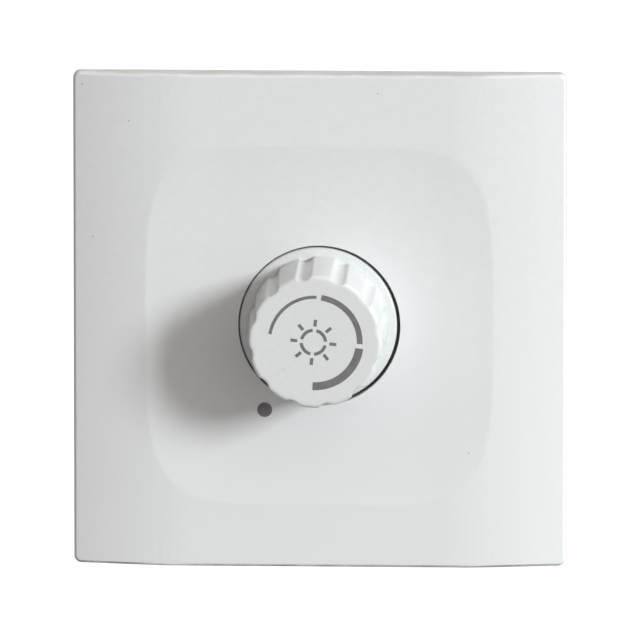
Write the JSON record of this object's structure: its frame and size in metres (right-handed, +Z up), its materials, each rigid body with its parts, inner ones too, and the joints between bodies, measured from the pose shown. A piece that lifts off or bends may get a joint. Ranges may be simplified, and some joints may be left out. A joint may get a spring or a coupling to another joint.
{
  "type": "rotary dimmer switch",
  "caption": "Rotary wall dimmer: fluted push-on knob on a crowned square cover plate, with mounting frame, switched control, trimmed circuit and vented rear housing.",
  "frame": {"origin": "on the wall plane, midway between the two box screws", "axes": "+Z up, +Y into the wall, -Y towards the room, +X to the right as seen from the room"},
  "size_m": [0.086, 0.0516, 0.0872],
  "materials": {
    "cover_plastic": "satin moulded",
    "knob_plastic": "satin moulded",
    "frame_plastic": "moulded",
    "housing_plastic": "moulded",
    "zinc_steel": "zinc plated",
    "board_laminate": "solder mask",
    "brass_plate": "turned",
    "nickel_steel": "nickel plated",
    "can_steel": "tinned",
    "wafer_laminate": "laminate",
    "tinned_metal": "tinned",
    "shaft_metal": "turned",
    "carrier_plastic": "moulded",
    "spring_bronze": "rolled",
    "spring_steel": "hardened",
    "switch_plastic": "moulded",
    "triac_epoxy": "epoxy",
    "sink_aluminium": "mill finish",
    "ferrite": "sintered",
    "winding_copper": "enamelled copper",
    "film_case": "moulded",
    "timing_case": "dipped",
    "diode_glass": "glass body",
    "resistor_coat": "lacquered",
    "fuse_glass": "clear",
    "block_plastic": "moulded",
    "terminal_brass": "rolled",
    "clamp_steel": "plated"
  },
  "bodies": {
    "root": {"mounting_frame": "frame_plastic", "rear_housing": "housing_plastic", "housing_screws": "zinc_steel", "circuit_board": "board_laminate", "control_bushing": "brass_plate", "control_nut": "nickel_steel", "control_washer": "nickel_steel", "control_can": "can_steel", "control_wafer": "wafer_laminate", "control_tags": "tinned_metal", "switch_case": "switch_plastic", "switch_tags": "tinned_metal", "triac": "triac_epoxy", "heat_sink": "sink_aluminium", "heat_sink_screw": "zinc_steel", "choke_core": "ferrite", "choke_winding": "winding_copper", "film_capacitor": "film_case", "timing_capacitor": "timing_case", "trigger_diode": "diode_glass", "resistors": "resistor_coat", "fuse_tube": "fuse_glass", "fuse_caps": "nickel_steel", "fuse_clips": "tinned_metal", "terminal_block": "block_plastic", "terminal_bars": "terminal_brass"},
    "rotor": {"control_shaft": "shaft_metal", "control_rotor": "carrier_plastic", "control_wiper": "spring_bronze", "shaft_clip": "spring_steel"},
    "knob": {"knob": "knob_plastic"},
    "cover": {"cover_plate": "cover_plastic"},
    "clamp_screw_live": {"clamp_screw_live": "zinc_steel"},
    "clamp_live": {"clamp_live": "clamp_steel"},
    "clamp_screw_load": {"clamp_screw_load": "zinc_steel"},
    "clamp_load": {"clamp_load": "clamp_steel"}
  },
  "joints": [
    {"name": "knob_turn", "type": "hinge", "parent": "root", "child": "rotor", "pos_m": [-0.0002, 0, -0.0008], "axis": [0, 1, 0], "range_deg": [0, 300]},
    {"name": "knob_pull", "type": "slide", "parent": "rotor", "child": "knob", "axis": [0, -1, 0], "range_m": [0, 0.016]},
    {"name": "cover_pull", "type": "slide", "parent": "root", "child": "cover", "axis": [0, -1, 0], "range_m": [0, 0.03]},
    {"name": "clamp_screw_live_turn", "type": "hinge", "parent": "root", "child": "clamp_screw_live", "pos_m": [-0.0044, 0.02, -0.0207], "axis": [0, -1, 0], "range_deg": [0, 1440]},
    {"name": "clamp_live_rise", "type": "slide", "parent": "root", "child": "clamp_live", "axis": [0, 1, 0], "range_m": [0, 0.002]},
    {"name": "clamp_screw_load_turn", "type": "hinge", "parent": "root", "child": "clamp_screw_load", "pos_m": [0.0044, 0.02, -0.0207], "axis": [0, -1, 0], "range_deg": [0, 1440]},
    {"name": "clamp_load_rise", "type": "slide", "parent": "root", "child": "clamp_load", "axis": [0, 1, 0], "range_m": [0, 0.002]}
  ],
  "couplings": [
    {"joint": "clamp_screw_live_turn", "follows": "clamp_live_rise", "rad_per_m": 12566},
    {"joint": "clamp_screw_load_turn", "follows": "clamp_load_rise", "rad_per_m": 12566}
  ]
}
